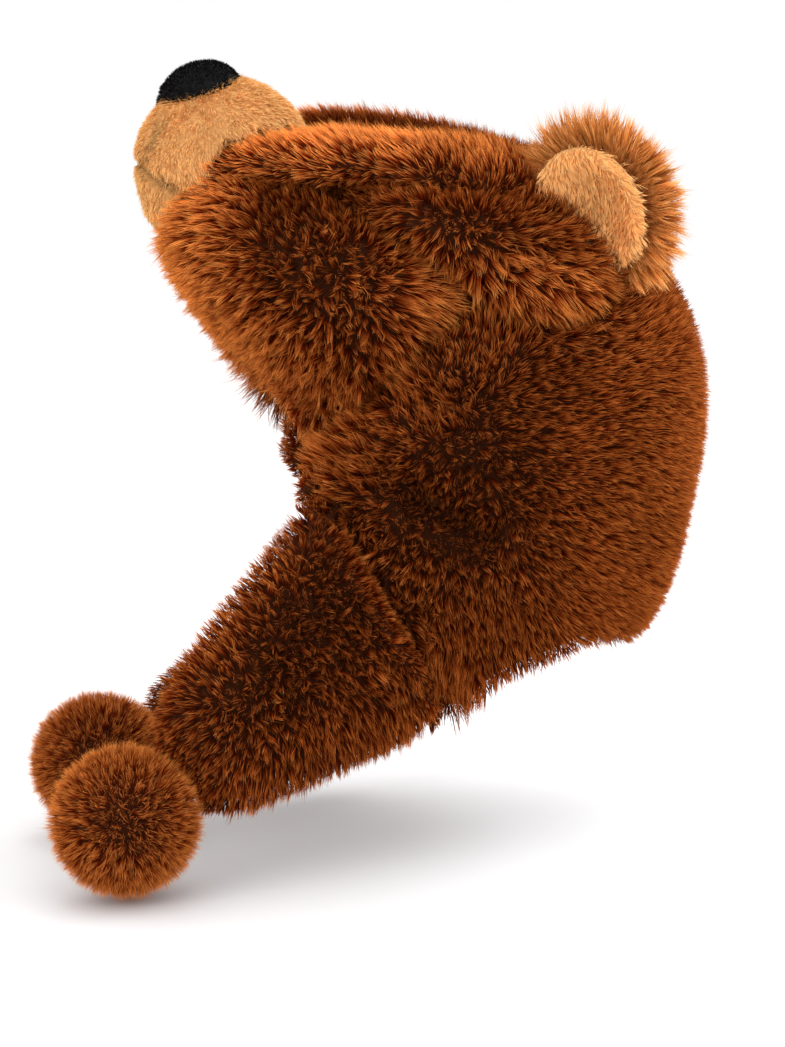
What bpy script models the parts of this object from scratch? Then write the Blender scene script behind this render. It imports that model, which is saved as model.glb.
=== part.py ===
"""Plush bear hood with ear flaps and pompoms, one mesh object for each sewn piece.

Metres, +Z up, the face towards -Y, the wearer's left at +X. The origin is the inner top of the
crown, where the hood sits on a head. Deep fur is a field of leaning locks, one raised from each
face of the cloth that carries it.
"""

import math

import bmesh
import bpy
from mathutils import Matrix, Vector

# Hood sizes
HOOD_REACH = 0.120
HOOD_HALF_WIDTH = 0.097
HOOD_CENTRE_Y = 0.0717 * HOOD_REACH
HOOD_CENTRE_Z = -0.9025 * HOOD_REACH
HOOD_CELLS = 20
MEETING_EDGE = 0.985
HOOD_BLUNTNESS = 0.80
HOOD_CELL_GATHER = 1.25
HOOD_CELL_SHIFT = 0.16
HOOD_CELL_SHIFT_WAY = math.radians(70.0)
PADDED_WALL = 0.005
HOOD_PILE = 0.010
HOOD_LEAN = 0.006
FUR_BLEND = 0.02
FOLD_HEIGHT = 0.010
FOLD_LIMIT = 1.2
MIDDLE_VALLEY = 0.040
SEWING_GAP = 0.0003
LOCK_CLEARANCE_AT_MUZZLE = 0.3 * HOOD_PILE
LOCK_CLEARANCE_AT_EAR = 0.1 * HOOD_PILE
CUTTER_SIZE = 6 * HOOD_REACH

# Seam between hood and flaps, seen from the side
SEAM_OFFSET = 0.7067 * HOOD_REACH
SEAM_PITCH = math.radians(32.9)

# Flap sizes
FLAP_HALF_WIDTH = 0.052
FLAP_HALF_THICKNESS = 0.010
FLAP_PILE = 0.009
FLAP_LEAN = 0.006
FLAP_END_SHARE = 0.75
FLAP_ROOT_SHARE = 0.25
FLAP_ROOT_FORWARD = 0.44
FLAP_ROOT_DOWN = 0.60
FLAP_END_ROUNDING = 2.6
FLAP_AROUND = 14
FLAP_ALONG = 18

# Pompom sizes and places
POMPOM_RADIUS = 0.035
POMPOM_PILE = 0.009
LEFT_POMPOM = Vector((1.0833, -1.3475, -2.2033)) * HOOD_REACH
RIGHT_POMPOM = Vector((0.1583, -1.4558, -2.1917)) * HOOD_REACH
LEFT_FLAP_BOW = Vector((0.0833, 0.0, 0.0167)) * HOOD_REACH
RIGHT_FLAP_BOW = Vector((-0.10, 0.25, -0.235)) * HOOD_REACH
POMPOM_SEAT_RADIUS = POMPOM_RADIUS + 2 * SEWING_GAP
BALL_SPLITS = 3

# Muzzle and nose sizes
MUZZLE_CENTRE = Vector((0.0, -0.9458, 0.1417)) * HOOD_REACH
MUZZLE_HALF_WIDTH = 0.046
MUZZLE_HALF_DEPTH = 0.042
MUZZLE_HALF_HEIGHT = 0.041
MUZZLE_CREASE = 0.0025
MUZZLE_CREASE_SPREAD = 0.16
MUZZLE_AROUND = 24
MUZZLE_UP = 16
NOSE_CENTRE = Vector((0.0, -1.0292, 0.4042)) * HOOD_REACH
NOSE_HALF_WIDTH = 0.027
NOSE_HALF_DEPTH = 0.0205
NOSE_HALF_HEIGHT = 0.0165
NOSE_PITCH = math.radians(24.0)
NOSE_AROUND = 20
NOSE_UP = 12

# Ear sizes
EAR_CENTRE = Vector((0.5333, 0.45, -0.0083)) * HOOD_REACH
EAR_HALF_WIDTH = 0.035
EAR_HALF_HEIGHT = 0.032
EAR_THICKNESS = 0.012
EAR_DISH = 0.011
EAR_PILE = 0.014
EAR_LEAN = 0.004
EAR_BARE_FACING = 0.45
EAR_LINING_SHARE = 0.86
EAR_LINING_THICKNESS = 0.0035
EAR_ACROSS = Vector((0.15, 0.45, -0.88))
EAR_OUTWARD = Vector((0.60, 0.72, 0.35))
RIGHT_EAR_SAG = Vector((0.0, 0.10, -0.0833)) * HOOD_REACH
EAR_AROUND = 18
EAR_UP = 9
LINING_UP = 6

# Hood sections about its side centre: angle up from the front in degrees, reach of the fur as a
# share of HOOD_REACH, free edge as a share of that reach (1 where both halves meet), and padding
# over the head as a share of HOOD_REACH.
HOOD_SECTIONS = (
    # angle, reach, edge, padding
    (-128.0, 1.060, 1.000, 0.00),
    (-117.0, 1.110, 0.800, 0.00),
    (-105.0, 1.380, 0.620, 0.00),
    (-90.0, 1.720, 0.520, 0.00),
    (-77.0, 1.820, 0.585, 0.00),
    (-60.0, 1.720, 0.540, 0.00),
    (-40.0, 1.500, 0.560, 0.00),
    (-20.0, 1.240, 0.670, 0.00),
    (-3.0, 1.060, 0.710, 0.00),
    (4.0, 1.040, 0.720, 0.00),
    (11.0, 1.040, 0.800, 0.00),
    (17.0, 1.010, 0.920, 0.00),
    (21.0, 1.050, 1.000, 0.02),
    (27.0, 1.300, 1.000, 0.22),
    (33.0, 1.500, 1.000, 0.44),
    (41.0, 1.610, 1.000, 0.54),
    (50.0, 1.610, 1.000, 0.56),
    (60.0, 1.450, 1.000, 0.44),
    (72.0, 1.280, 1.000, 0.26),
    (90.0, 1.175, 1.000, 0.16),
    (115.0, 1.100, 1.000, 0.13),
    (138.0, 1.010, 1.000, 0.10),
    (160.0, 0.955, 1.000, 0.05),
    (181.0, 0.910, 1.000, 0.03),
    (200.0, 0.910, 1.000, 0.01),
    (216.0, 0.975, 1.000, 0.00),
)

# Folds seen from the side: start and end from the side centre as shares of HOOD_REACH (front is
# negative), height as a share of FOLD_HEIGHT (creases are negative), and width over HOOD_REACH.
HOOD_FOLDS = (
    # start_y, start_z, end_y, end_z, height, width
    (-1.06, 1.08, 0.20, 1.07, 1.00, 0.11),
    (-1.28, 0.92, -1.10, 1.16, 0.80, 0.16),
    (-0.98, 0.97, -0.44, 0.90, -1.00, 0.08),
    (-0.92, 0.72, -0.50, 0.48, 0.80, 0.26),
    (-0.40, 0.84, -0.07, 0.56, -0.80, 0.07),
    (-0.07, 0.56, -0.50, 0.19, -0.80, 0.08),
    (-0.50, 0.19, -0.74, -0.02, -0.80, 0.07),
    (-0.32, 0.88, 0.24, 0.68, 1.00, 0.11),
    (0.55, -0.33, 0.55, -0.30, -0.60, 0.10),
)

# Lie of the fur seen from the side: place as shares of HOOD_REACH, and the way it is combed.
HOOD_FUR = (
    # place_y, place_z, comb_y, comb_z
    (-1.06, 1.10, 0.50, 0.60),
    (-0.40, 1.10, 0.80, 0.50),
    (0.15, 1.15, 1.00, 0.10),
    (-1.10, 0.75, -0.60, -0.80),
    (-0.75, 0.50, 0.30, -0.95),
    (-0.75, 0.05, -0.30, -0.95),
    (0.00, 0.75, 0.60, -0.80),
    (0.75, 0.65, 0.30, -1.00),
    (0.92, 0.00, -0.10, -1.00),
    (0.75, -0.70, -0.30, -1.00),
    (0.00, 0.05, -0.10, -1.00),
    (-0.35, -0.60, -0.60, -0.80),
)

# Flap sections from root to tip: place along the flap, half width and half thickness as shares.
FLAP_SECTIONS = (
    # along, half_width, half_thickness
    (0.00, 0.92, 0.85),
    (0.12, 1.03, 1.05),
    (0.30, 0.98, 1.00),
    (0.60, 0.76, 1.00),
    (0.85, 0.56, 1.00),
    (1.00, 0.44, 0.85),
)

MUZZLE_SEAMS = (
    # start_x, start_y, start_z, end_x, end_y, end_z as shares of the muzzle's half sizes
    (0.0, -0.75, 0.66, 0.0, -0.98, -0.20),
    (0.0, -0.98, -0.20, 0.80, -0.45, -0.40),
    (0.0, -0.98, -0.20, -0.80, -0.45, -0.40),
)


def remove_old_objects():
    for old in list(bpy.data.objects):
        bpy.data.objects.remove(old, do_unlink=True)


def new_collection(name):
    collection = bpy.data.collections.new(name)
    bpy.context.scene.collection.children.link(collection)
    return collection


def plush(name, colour, roughness):
    material = bpy.data.materials.new(name)
    material.use_nodes = True
    shader = material.node_tree.nodes["Principled BSDF"]
    shader.inputs["Base Color"].default_value = (*colour, 1.0)
    shader.inputs["Roughness"].default_value = roughness
    shader.inputs["Metallic"].default_value = 0.0
    return material


def face_outwards(bm):
    bm.normal_update()
    bmesh.ops.recalc_face_normals(bm, faces=bm.faces)
    bm.normal_update()


def place(bm, name, collection, material=None):
    """Turn the finished faces into one named object."""
    face_outwards(bm)
    mesh = bpy.data.meshes.new(name)
    bm.to_mesh(mesh)
    bm.free()
    piece = bpy.data.objects.new(name, mesh)
    collection.objects.link(piece)
    if material is None:
        piece.hide_render = True
        piece.display_type = "WIRE"
    else:
        mesh.materials.append(material)
    return piece


def cut(piece, cutter):
    """Take the cutter's room out of a piece."""
    boolean = piece.modifiers.new("seat_" + cutter.name, "BOOLEAN")
    boolean.operation = "DIFFERENCE"
    boolean.solver = "EXACT"
    boolean.object = cutter


def blend_rows(rows, key, column, period=None):
    """Smooth value of a table column at a key of its first column."""
    if period:
        first, last = rows[0], rows[-1]
        before = (last[0] - period,) + tuple(last[1:])
        after = (first[0] + period,) + tuple(first[1:])
        rows = (before,) + tuple(rows) + (after,)
        while key < rows[1][0]:
            key += period
        while key >= rows[1][0] + period:
            key -= period
    for index in range(len(rows) - 1):
        low, high = rows[index], rows[index + 1]
        if key <= high[0]:
            break
    span = high[0] - low[0]
    share = min(1.0, max(0.0, (key - low[0]) / span))
    earlier = rows[max(0, index - 1)]
    later = rows[min(len(rows) - 1, index + 2)]
    rise = high[column] - low[column]
    start = rise if earlier is low else 0.5 * (rise + span * slope(earlier, low, column))
    end = rise if later is high else 0.5 * (rise + span * slope(high, later, column))
    square = share * share
    cube = square * share
    return (low[column] + (3 * square - 2 * cube) * rise
            + (cube - 2 * square + share) * start + (cube - square) * end)


def slope(low, high, column):
    return (high[column] - low[column]) / (high[0] - low[0])


def stroke_distance(point, start, end):
    """Distance from a point to a straight stroke, all as vectors."""
    along = end - start
    length = along.length_squared
    share = 0.0 if length == 0 else min(1.0, max(0.0, (point - start).dot(along) / length))
    return (point - start - along * share).length


def disc_place(across, up):
    """Even square-to-disc mapping: distance from the middle, 0 to 1, and direction in radians."""
    if across == 0 and up == 0:
        return 0.0, 0.0
    if abs(across) > abs(up):
        radius = across
        angle = math.pi / 4 * up / across
    else:
        radius = up
        angle = math.pi / 2 - math.pi / 4 * across / up
    if radius < 0:
        angle += math.pi
    return abs(radius), angle


def hood_point(across, up, inset, padded=False, closed=False):
    """Point of the hood's left half for a place on the unit square, an inset below the fur."""
    share, angle = disc_place(across, up)
    share **= HOOD_CELL_GATHER
    shift = HOOD_CELL_SHIFT * (1.0 - share * share)
    spot = Vector((share * math.cos(angle) + shift * math.cos(HOOD_CELL_SHIFT_WAY),
                   share * math.sin(angle) + shift * math.sin(HOOD_CELL_SHIFT_WAY)))
    share, angle = spot.length, math.atan2(spot.y, spot.x)
    degrees = math.degrees(angle)
    reach = HOOD_REACH * blend_rows(HOOD_SECTIONS, degrees, 1, 360)
    edge = min(1.0, blend_rows(HOOD_SECTIONS, degrees, 2, 360))
    edge = 1.0 if closed or edge > MEETING_EDGE else edge
    padding = HOOD_REACH * max(0.0, blend_rows(HOOD_SECTIONS, degrees, 3, 360)) if padded else 0.0
    edge_turn = math.asin(edge ** (1 / HOOD_BLUNTNESS))
    turn = edge_turn * share
    radius = (reach - inset - padding) * math.sin(turn) ** HOOD_BLUNTNESS
    side = (HOOD_HALF_WIDTH - inset) * max(0.0, math.cos(turn)) ** HOOD_BLUNTNESS
    if edge == 1.0 and share > 0.999:
        side = 0.0
    y = -radius * math.cos(angle)
    z = radius * math.sin(angle)
    lift = Vector((side / HOOD_HALF_WIDTH ** 2, y / reach ** 2, z / reach ** 2)).normalized()
    lift *= fold_lift(y, z) * min(1.0, side / MIDDLE_VALLEY)
    return Vector((side, HOOD_CENTRE_Y + y, HOOD_CENTRE_Z + z)) + lift


def fold_lift(y, z):
    spot = Vector((y, z)) / HOOD_REACH
    total = 0.0
    for start_y, start_z, end_y, end_z, height, width in HOOD_FOLDS:
        distance = stroke_distance(spot, Vector((start_y, start_z)), Vector((end_y, end_z)))
        total += height * math.exp(-(distance / width) ** 2)
    return FOLD_HEIGHT * max(-FOLD_LIMIT, min(FOLD_LIMIT, total))


def hood_sheet(inset, padded=False, closed=False):
    """Open sheet of both halves of the hood, joined along the middle."""
    bm = bmesh.new()
    bmesh.ops.create_grid(bm, x_segments=HOOD_CELLS, y_segments=HOOD_CELLS, size=1.0)
    for vert in bm.verts:
        vert.co = hood_point(vert.co.x, vert.co.y, inset, padded, closed)
    whole = bm.verts[:] + bm.edges[:] + bm.faces[:]
    bmesh.ops.mirror(bm, geom=whole, matrix=Matrix.Identity(4), merge_dist=0.00001, axis="X")
    face_outwards(bm)
    return bm


def split_quads(bm):
    """Split twisted quads the same way everywhere, so that seated pieces follow their seat."""
    quads = [face for face in bm.faces if len(face.verts) == 4]
    bmesh.ops.triangulate(bm, faces=quads, quad_method="FIXED")


def hood_comb(point):
    """Way the fur lies at a point of the hood."""
    spot = Vector((point.y - HOOD_CENTRE_Y, point.z - HOOD_CENTRE_Z)) / HOOD_REACH
    way = Vector((0.0, 0.0, 0.0))
    for place_y, place_z, comb_y, comb_z in HOOD_FUR:
        weight = 1.0 / (FUR_BLEND + (spot - Vector((place_y, place_z))).length_squared) ** 2
        way += weight * Vector((0.0, comb_y, comb_z)).normalized()
    return way.normalized()


def raise_locks(bm, faces, height, lean, comb, keep_out=None):
    """Raise one leaning lock of fur from each face, but for those that trim or a seam covers."""
    bm.normal_update()
    tips = {}
    for face in faces:
        root = face.calc_center_median()
        out = face.normal.copy()
        way = comb(root)
        way = way - out * way.dot(out)
        tip = root + out * height + way * lean
        corners = [vert.co for vert in face.verts]
        if keep_out is None or not keep_out(root, [root, tip] + corners):
            tips[face] = tip
    for face, tip in tips.items():
        poked = bmesh.ops.poke(bm, faces=[face])
        poked["verts"][0].co = tip


def inside(point, centre, sizes, margin):
    offset = point - centre
    total = sum((offset[axis] / (sizes[axis] + margin)) ** 2 for axis in range(3))
    return total < 1.0


def muzzle_sizes():
    return MUZZLE_HALF_WIDTH, MUZZLE_HALF_DEPTH, MUZZLE_HALF_HEIGHT


def ear_frame(side):
    """Matrix of an ear: across, outward and facing axes at its centre."""
    facing = EAR_ACROSS.cross(EAR_OUTWARD).normalized()
    across = EAR_ACROSS.normalized()
    outward = facing.cross(across)
    centre = EAR_CENTRE.copy()
    if side < 0:
        centre += RIGHT_EAR_SAG
    frame = Matrix((across, outward, facing)).transposed().to_4x4()
    frame.translation = centre
    return Matrix.Diagonal((side, 1, 1, 1)) @ frame


def past_seam(point):
    """How far a point lies from the seam towards the flap."""
    return (seam_frame().inverted() @ point).z


def under_trim(root, spots):
    """True where a lock of the hood would reach the muzzle, an ear or a flap."""
    if past_seam(root) > 0:
        return True
    for spot in spots:
        if inside(spot, MUZZLE_CENTRE, muzzle_sizes(), LOCK_CLEARANCE_AT_MUZZLE):
            return True
        for side in (1, -1):
            local = ear_frame(side).inverted() @ spot
            sizes = (EAR_HALF_WIDTH + EAR_PILE, EAR_HALF_HEIGHT + EAR_PILE,
                     EAR_THICKNESS / 2 + EAR_DISH + EAR_LINING_THICKNESS)
            if inside(local, Vector((0, 0, -EAR_DISH / 2)), sizes, LOCK_CLEARANCE_AT_EAR):
                return True
    return False


def make_hood(parts, material):
    bm = hood_sheet(HOOD_PILE)
    outer = bm.faces[:]
    inner = hood_sheet(HOOD_PILE + PADDED_WALL, padded=True)
    bmesh.ops.reverse_faces(inner, faces=inner.faces)
    mesh = bpy.data.meshes.new("hood_inside")
    inner.to_mesh(mesh)
    inner.free()
    bm.from_mesh(mesh)
    bpy.data.meshes.remove(mesh)
    rim = [edge for edge in bm.edges if edge.is_boundary]
    bmesh.ops.bridge_loops(bm, edges=rim)
    bm.normal_update()
    raise_locks(bm, outer, HOOD_PILE, HOOD_LEAN, hood_comb, under_trim)
    split_quads(bm)
    return place(bm, "hood", parts, material)


def make_hood_form(cutters):
    """Closed form of the hood's cloth with the sewing gap, to seat the trim on."""
    bm = hood_sheet(HOOD_PILE - SEWING_GAP, closed=True)
    split_quads(bm)
    return place(bm, "hood_form", cutters)


def seam_frame():
    """Frame of the hood-to-flap seam: its Z axis points from the hood to the flap."""
    normal = Vector((0.0, -math.cos(SEAM_PITCH), -math.sin(SEAM_PITCH)))
    along = Vector((0.0, math.sin(SEAM_PITCH), -math.cos(SEAM_PITCH)))
    frame = Matrix((Vector((1, 0, 0)), along, normal)).transposed().to_4x4()
    frame.translation = Vector((0, HOOD_CENTRE_Y, HOOD_CENTRE_Z)) + normal * SEAM_OFFSET
    return frame


def make_seam_cutter(name, cutters, direction):
    """Block on one side of the seam that reaches half a sewing gap past it."""
    bm = bmesh.new()
    bmesh.ops.create_cube(bm, size=CUTTER_SIZE)
    shift = direction * (CUTTER_SIZE / 2 - SEWING_GAP / 2)
    bmesh.ops.translate(bm, verts=bm.verts, vec=(0, 0, shift))
    bmesh.ops.transform(bm, verts=bm.verts, matrix=seam_frame())
    return place(bm, name, cutters)


def flap_root(side):
    """Middle of the seam on the hood's side, half way through the padded wall."""
    side_x = side * (HOOD_HALF_WIDTH - HOOD_PILE - FLAP_HALF_THICKNESS)
    return Vector((side_x, HOOD_CENTRE_Y - FLAP_ROOT_FORWARD * HOOD_REACH,
                   HOOD_CENTRE_Z - FLAP_ROOT_DOWN * HOOD_REACH))


def make_flap(name, side, pompom, bow, parts, material):
    root = flap_root(side)
    way = pompom - root
    start = root - way.normalized() * FLAP_ROOT_SHARE * HOOD_REACH
    run = pompom - start
    length = run.length - FLAP_END_SHARE * POMPOM_RADIUS
    seam_along = seam_frame().col[1].to_3d()
    lengthwise = run.normalized()
    across = (seam_along - lengthwise * seam_along.dot(lengthwise)).normalized()
    outward = lengthwise.cross(across)
    if outward.x * side < 0:
        outward = -outward
    bm = bmesh.new()
    bmesh.ops.create_uvsphere(bm, u_segments=FLAP_AROUND, v_segments=FLAP_ALONG, radius=1.0)
    for vert in bm.verts:
        along = 0.5 - math.asin(max(-1.0, min(1.0, vert.co.z))) / math.pi
        ring = math.hypot(vert.co.x, vert.co.y)
        end_round = min(1.0, ring * FLAP_END_ROUNDING)
        turn = math.atan2(vert.co.y, vert.co.x)
        half_width = FLAP_HALF_WIDTH * blend_rows(FLAP_SECTIONS, along, 1) * end_round
        half_thick = FLAP_HALF_THICKNESS * blend_rows(FLAP_SECTIONS, along, 2) * end_round
        vert.co = (start + lengthwise * length * along + bow * math.sin(math.pi * along)
                   + across * half_width * math.cos(turn) + outward * half_thick * math.sin(turn))
    face_outwards(bm)

    def sewn(root_point, spots):
        in_seat = (root_point - pompom).length < POMPOM_RADIUS
        return in_seat or past_seam(root_point) < 0

    raise_locks(bm, bm.faces[:], FLAP_PILE, FLAP_LEAN, lambda root_point: lengthwise, sewn)
    return place(bm, name, parts, material)


def make_pompom(name, centre, parts, material):
    bm = bmesh.new()
    bmesh.ops.create_icosphere(bm, subdivisions=BALL_SPLITS, radius=POMPOM_RADIUS - POMPOM_PILE)
    bmesh.ops.translate(bm, verts=bm.verts, vec=centre)
    raise_locks(bm, bm.faces[:], POMPOM_PILE, 0.0, lambda root_point: Vector((0, 0, 1)))
    return place(bm, name, parts, material)


def make_pompom_seat(name, centre, cutters):
    bm = bmesh.new()
    bmesh.ops.create_icosphere(bm, subdivisions=BALL_SPLITS, radius=POMPOM_SEAT_RADIUS)
    bmesh.ops.translate(bm, verts=bm.verts, vec=centre)
    return place(bm, name, cutters)


def muzzle_form(extra):
    """Ball of the muzzle, a clearance larger, with its mouth and lip creases."""
    bm = bmesh.new()
    bmesh.ops.create_uvsphere(bm, u_segments=MUZZLE_AROUND, v_segments=MUZZLE_UP, radius=1.0)
    for vert in bm.verts:
        crease = 0.0
        for row in MUZZLE_SEAMS:
            start, end = Vector(row[:3]), Vector(row[3:])
            distance = stroke_distance(vert.co, start, end)
            crease += math.exp(-(distance / MUZZLE_CREASE_SPREAD) ** 2)
        shrink = extra - MUZZLE_CREASE * min(1.0, crease)
        sizes = Vector(muzzle_sizes()) + Vector((shrink, shrink, shrink))
        vert.co = MUZZLE_CENTRE + vert.co * sizes
    split_quads(bm)
    return bm


def make_nose(parts, material):
    bm = bmesh.new()
    bmesh.ops.create_uvsphere(bm, u_segments=NOSE_AROUND, v_segments=NOSE_UP, radius=1.0)
    sizes = Matrix.Diagonal((NOSE_HALF_WIDTH, NOSE_HALF_DEPTH, NOSE_HALF_HEIGHT, 1))
    turn = Matrix.Rotation(NOSE_PITCH, 4, "X")
    bmesh.ops.transform(bm, verts=bm.verts, matrix=Matrix.Translation(NOSE_CENTRE) @ turn @ sizes)
    return place(bm, "nose", parts, material)


def ear_dish(x, y):
    """How far the ear's middle is pushed back behind its rim."""
    return EAR_DISH * (1.0 - min(1.0, x * x + y * y))


def make_ear(name, side, parts, material):
    bm = bmesh.new()
    bmesh.ops.create_uvsphere(bm, u_segments=EAR_AROUND, v_segments=EAR_UP, radius=1.0)
    for vert in bm.verts:
        x, y, z = vert.co
        vert.co = Vector((x * EAR_HALF_WIDTH, y * EAR_HALF_HEIGHT,
                          z * EAR_THICKNESS / 2 - ear_dish(x, y)))
    face_outwards(bm)
    furry = [face for face in bm.faces if face.normal.z < EAR_BARE_FACING]
    raise_locks(bm, furry, EAR_PILE, EAR_LEAN,
                lambda root_point: Vector((root_point.x, root_point.y, 0)).normalized())
    bmesh.ops.transform(bm, verts=bm.verts, matrix=ear_frame(side))
    return place(bm, name, parts, material)


def make_ear_lining(name, side, parts, material):
    bm = bmesh.new()
    bmesh.ops.create_uvsphere(bm, u_segments=EAR_AROUND, v_segments=LINING_UP, radius=1.0)
    front = EAR_THICKNESS / 2 + EAR_LINING_THICKNESS / 2 + SEWING_GAP
    for vert in bm.verts:
        x, y, z = vert.co
        lift = front - ear_dish(x * EAR_LINING_SHARE, y * EAR_LINING_SHARE)
        vert.co = Vector((x * EAR_HALF_WIDTH * EAR_LINING_SHARE,
                          y * EAR_HALF_HEIGHT * EAR_LINING_SHARE,
                          z * EAR_LINING_THICKNESS / 2 + lift))
    bmesh.ops.transform(bm, verts=bm.verts, matrix=ear_frame(side))
    return place(bm, name, parts, material)


def main():
    remove_old_objects()
    parts = new_collection("bear_hood")
    cutters = new_collection("cutters")
    brown = plush("brown_fur", (0.19, 0.065, 0.018), 0.9)
    tan = plush("tan_plush", (0.62, 0.36, 0.15), 0.9)
    black = plush("black_plush", (0.012, 0.012, 0.014), 0.7)

    hood_form = make_hood_form(cutters)
    flap_room = make_seam_cutter("flap_room", cutters, 1)
    hood_room = make_seam_cutter("hood_room", cutters, -1)
    hood = make_hood(parts, brown)
    cut(hood, flap_room)

    for label, side, centre, bow in (("left", 1, LEFT_POMPOM, LEFT_FLAP_BOW),
                                     ("right", -1, RIGHT_POMPOM, RIGHT_FLAP_BOW)):
        flap = make_flap(label + "_flap", side, centre, bow, parts, brown)
        cut(flap, hood_room)
        cut(flap, make_pompom_seat(label + "_pompom_room", centre, cutters))
        make_pompom(label + "_pompom", centre, parts, brown)
        ear = make_ear(label + "_ear", side, parts, brown)
        cut(ear, hood_form)
        lining = make_ear_lining(label + "_ear_lining", side, parts, tan)
        cut(lining, hood_form)

    muzzle = place(muzzle_form(0.0), "muzzle", parts, tan)
    cut(muzzle, hood_form)
    nose = make_nose(parts, black)
    cut(nose, place(muzzle_form(SEWING_GAP), "muzzle_room", cutters))


main()
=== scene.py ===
"""Plush bear hat: a long-haired hood with two flaps ending in pompoms, a muzzle, a nose and two ears."""
import math

import bmesh
import bpy
import numpy as np
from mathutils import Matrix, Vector
from mathutils.bvhtree import BVHTree
from mathutils.kdtree import KDTree


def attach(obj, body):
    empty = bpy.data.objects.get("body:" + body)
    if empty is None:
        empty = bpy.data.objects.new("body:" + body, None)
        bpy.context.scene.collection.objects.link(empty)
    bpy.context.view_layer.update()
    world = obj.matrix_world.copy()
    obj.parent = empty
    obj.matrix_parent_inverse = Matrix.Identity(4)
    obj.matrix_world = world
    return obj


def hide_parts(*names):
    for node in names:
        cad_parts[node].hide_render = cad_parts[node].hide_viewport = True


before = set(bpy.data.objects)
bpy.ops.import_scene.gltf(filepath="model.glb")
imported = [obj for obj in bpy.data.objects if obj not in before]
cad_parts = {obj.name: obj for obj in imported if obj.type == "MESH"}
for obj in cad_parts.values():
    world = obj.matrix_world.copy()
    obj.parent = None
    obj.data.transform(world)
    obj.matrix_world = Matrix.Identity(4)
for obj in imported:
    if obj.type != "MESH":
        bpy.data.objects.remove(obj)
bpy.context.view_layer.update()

BODY = "root"
MM = 0.001

# Camera of the photograph: turned and raised about its aim, in degrees and metres.
CAMERA_TURN = 85.0
CAMERA_RISE = 7.9
CAMERA_AWAY = 1.32
CAMERA_AIM = Vector((0.0, -0.03354, -0.15314))
CAMERA_LENS = 94.4

FLOOR_HEIGHT = -0.300

# A lock of the solids stands this far out of its face, and points closer than this are one.
LOCK_LEAST = 2.5 * MM
SAME_POINT = 0.01 * MM
# Fur follows the nearest few locks, of those that face nearly its own way.
LOCKS_SEARCHED = 12
LOCKS_BLENDED = 4
FACING_LEAST = -0.25
# Faces this close to another form are sewn against it.
SEWN_WITHIN = 1.2 * MM
# No strand starts this close to the form beside it.
HOOD_CLEARS_EAR = 1.0 * MM
HOOD_CLEARS_FLAP = 0.6 * MM
EAR_CLEARS_LINING = 0.9 * MM
MUZZLE_CLEARS_HOOD = 0.5 * MM
NOSE_CLEARS_MUZZLE = 1.0 * MM

# How finely each piece's form is smoothed, and the seed of its fur.
LEVELS = {"hood": 2, "muzzle": 2, "left_ear_lining": 2, "right_ear_lining": 2}
SEEDS = {"hood": 11, "flap": 13, "pompom": 16, "ear": 19, "lining": 22, "muzzle": 25, "nose": 26}
# Edges of a form that turn more sharply than this stay sharp.
FIRM_ANGLE = math.radians(60.0)

# Muzzle, as the solids have it: an egg with sewn creases, given on a ball of radius 1.
MUZZLE_CENTRE = Vector((0.0, -0.1135, 0.017))
MUZZLE_SIZES = Vector((0.046, 0.042, 0.041))
NOSE_CENTRE = Vector((0.0, -0.1235, 0.0485))

# Ears, as the solids have them: an across, an outward and a facing axis at each middle.
EAR_CENTRE = Vector((0.064, 0.054, -0.001))
EAR_SIZES = Vector((0.035, 0.032, 0.0))
EAR_ACROSS = Vector((0.15, 0.45, -0.88))
EAR_OUTWARD = Vector((0.60, 0.72, 0.35))
RIGHT_EAR_SAG = Vector((0.0, 0.012, -0.010))
LINING_SHARE = 0.86
# The lining's rim rolls up this far, at a share of its radius, and most at its upper front: what stands
# everywhere, what each share outward adds, and what each share across adds. Its hollow has a middle and
# a half size across and outward.
LINING_RIM = 7.0 * MM
RIM_RADIUS = 0.78
RIM_WIDTH = 0.24
RIM_SLOPE = (0.6, 0.6, -0.5)
HOLLOW_ACROSS = (0.05, 0.45)
HOLLOW_OUTWARD = (-0.15, 0.35)

# Seams of the mouth as strokes on the ball of the muzzle, and how wide and deep they are sewn.
MUZZLE_SEAMS = (
    # start_x, start_y, start_z, end_x, end_y, end_z
    (0.0, -0.78, 0.62, 0.0, -0.99, 0.10),
    (0.0, -0.99, 0.10, 0.41, -0.91, -0.03),
    (0.41, -0.91, -0.03, 0.57, -0.81, -0.11),
    (0.57, -0.81, -0.11, 0.73, -0.65, -0.22),
    (0.73, -0.65, -0.22, 0.84, -0.42, -0.34),
    (0.53, -0.66, 0.53, 0.55, -0.78, 0.30),
    (0.55, -0.78, 0.30, 0.41, -0.91, -0.03),
)
MUZZLE_SEAM_WIDTH = 0.060
MUZZLE_SEAM_DEPTH = 3.0 * MM

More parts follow.
